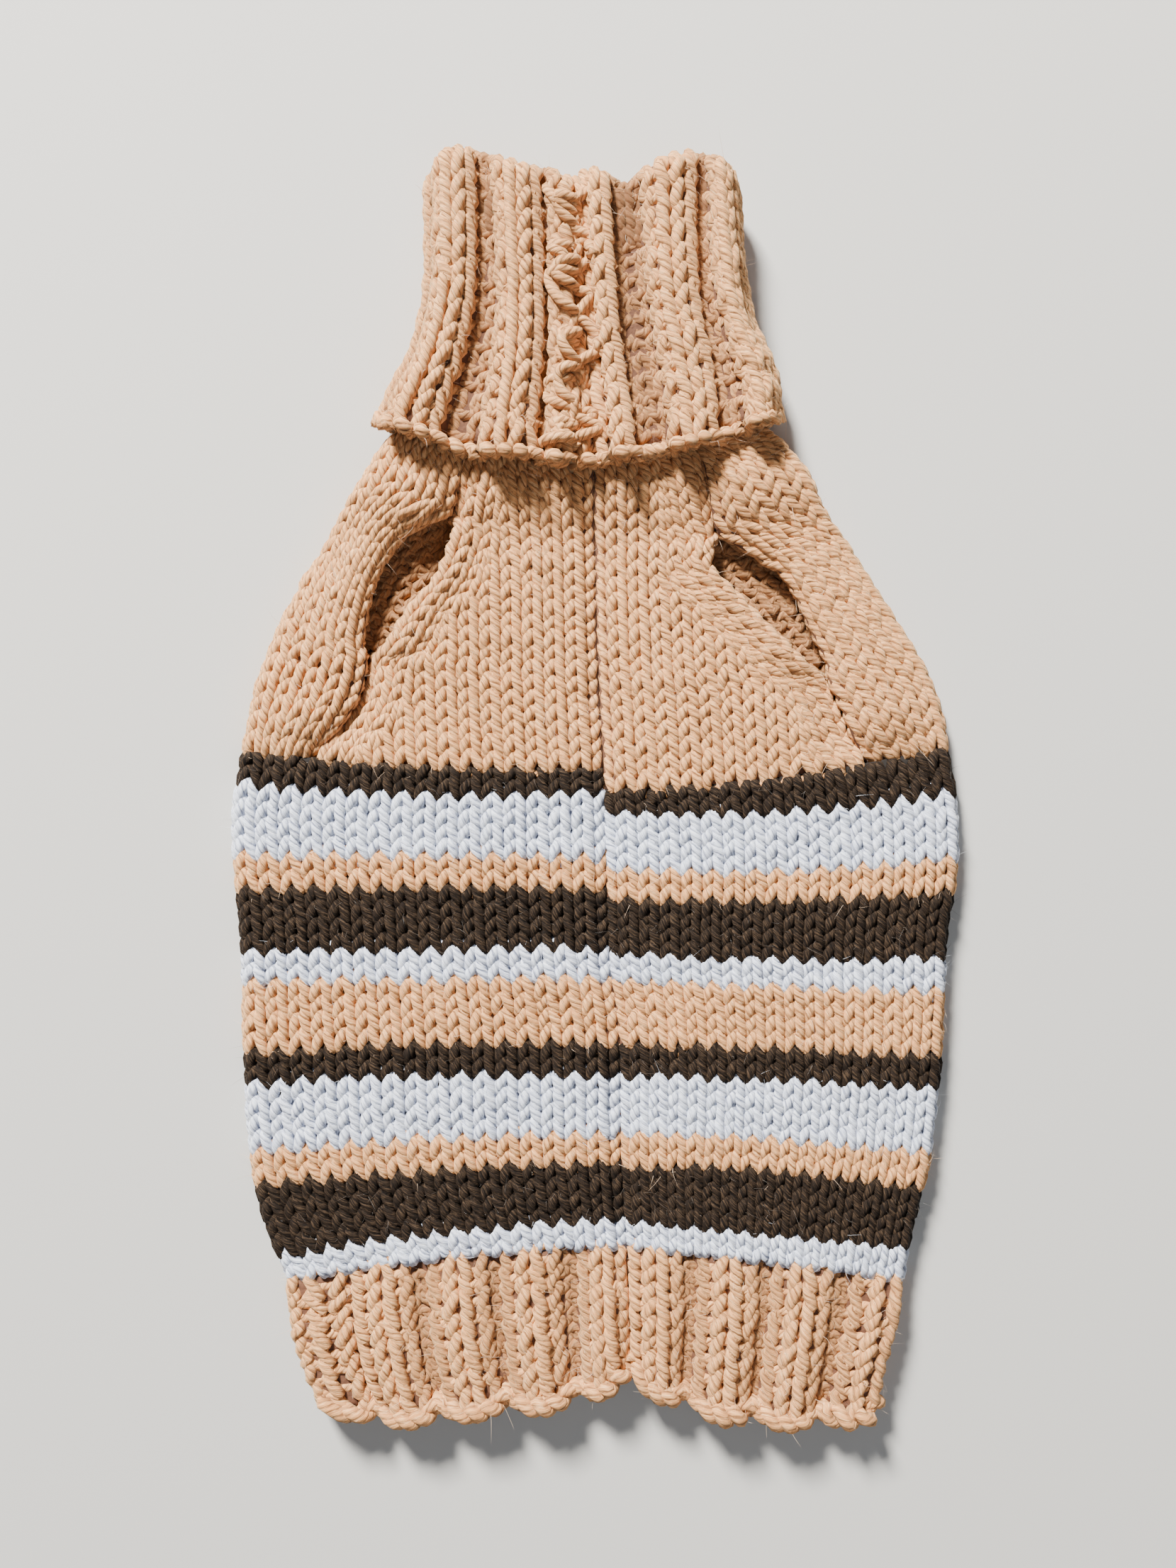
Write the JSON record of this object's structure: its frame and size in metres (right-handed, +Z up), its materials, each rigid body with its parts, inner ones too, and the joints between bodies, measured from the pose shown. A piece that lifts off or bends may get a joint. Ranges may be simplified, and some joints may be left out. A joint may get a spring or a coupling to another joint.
{
  "type": "dog sweater",
  "caption": "Hand-knitted dog sweater laid flat, belly up, with a folded rib collar, two leg openings, a striped body and a ribbed hem.",
  "frame": {"origin": "middle of the laid garment's box, on the surface that it lies on", "axes": "+Y from the hem to the collar, +X to the right seen from above, +Z up out of the belly side"},
  "size_m": [0.2535, 0.4398, 0.0236],
  "materials": {
    "peach_yarn": "matt plied yarn",
    "dark_yarn": "matt brushed yarn",
    "white_yarn": "matt plied yarn",
    "striped_knit": "matt plied yarns in stripes"
  },
  "bodies": {
    "root": {"hem_rib": "peach_yarn", "body_stripes": "striped_knit", "back_yoke": "peach_yarn", "chest_left": "peach_yarn", "chest_right": "peach_yarn", "collar": "peach_yarn"}
  },
  "joints": []
}
